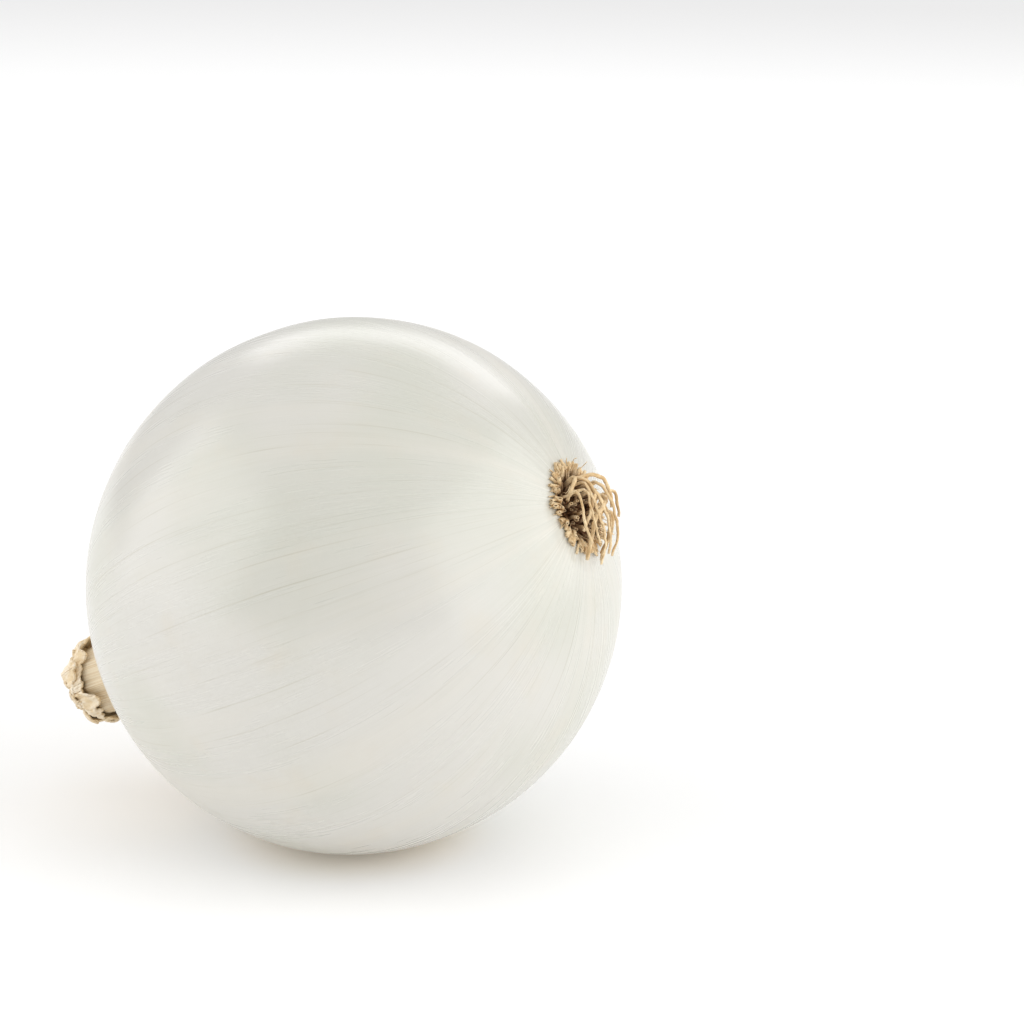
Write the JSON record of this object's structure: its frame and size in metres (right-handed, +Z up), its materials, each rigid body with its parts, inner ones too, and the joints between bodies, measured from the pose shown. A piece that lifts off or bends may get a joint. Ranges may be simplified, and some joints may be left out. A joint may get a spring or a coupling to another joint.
{
  "type": "onion",
  "caption": "Whole white bulb onion lying on its side, with papery skin, a dried tuft of roots at one end and a short cut neck at the other.",
  "frame": {"origin": "centre of the small flat spot on which the onion rests", "axes": "+Z up; the line from neck to root end lies in the XZ plane, with the root end at +X and raised and the neck at -X and low"},
  "size_m": [0.1024, 0.0902, 0.089],
  "materials": {
    "onion_skin": "satin, pearly white dry skin with fine grey-green veins along the bulb",
    "neck_paper": "dry, crumpled, cream to tan",
    "root_cork": "rough, dark brown, corky",
    "dried_root": "matt, dry, fibrous, tan"
  },
  "bodies": {
    "root": {"bulb": "onion_skin", "root_plate": "root_cork", "short_root_01": "dried_root", "short_root_02": "dried_root", "short_root_03": "dried_root", "short_root_04": "dried_root", "short_root_05": "dried_root", "short_root_06": "dried_root", "short_root_07": "dried_root", "short_root_08": "dried_root", "short_root_09": "dried_root", "short_root_10": "dried_root", "short_root_11": "dried_root", "short_root_12": "dried_root", "short_root_13": "dried_root", "short_root_14": "dried_root", "short_root_15": "dried_root", "short_root_16": "dried_root", "short_root_17": "dried_root", "short_root_18": "dried_root", "short_root_19": "dried_root", "short_root_20": "dried_root", "short_root_21": "dried_root", "short_root_22": "dried_root", "short_root_23": "dried_root", "short_root_24": "dried_root", "short_root_25": "dried_root", "short_root_26": "dried_root", "short_root_27": "dried_root", "short_root_28": "dried_root", "short_root_29": "dried_root", "short_root_30": "dried_root", "long_root_01": "dried_root", "long_root_02": "dried_root", "long_root_03": "dried_root", "long_root_04": "dried_root", "long_root_05": "dried_root", "long_root_06": "dried_root", "neck_leaf_01": "neck_paper", "neck_leaf_02": "neck_paper", "neck_leaf_03": "neck_paper", "neck_leaf_04": "neck_paper"}
  },
  "joints": []
}
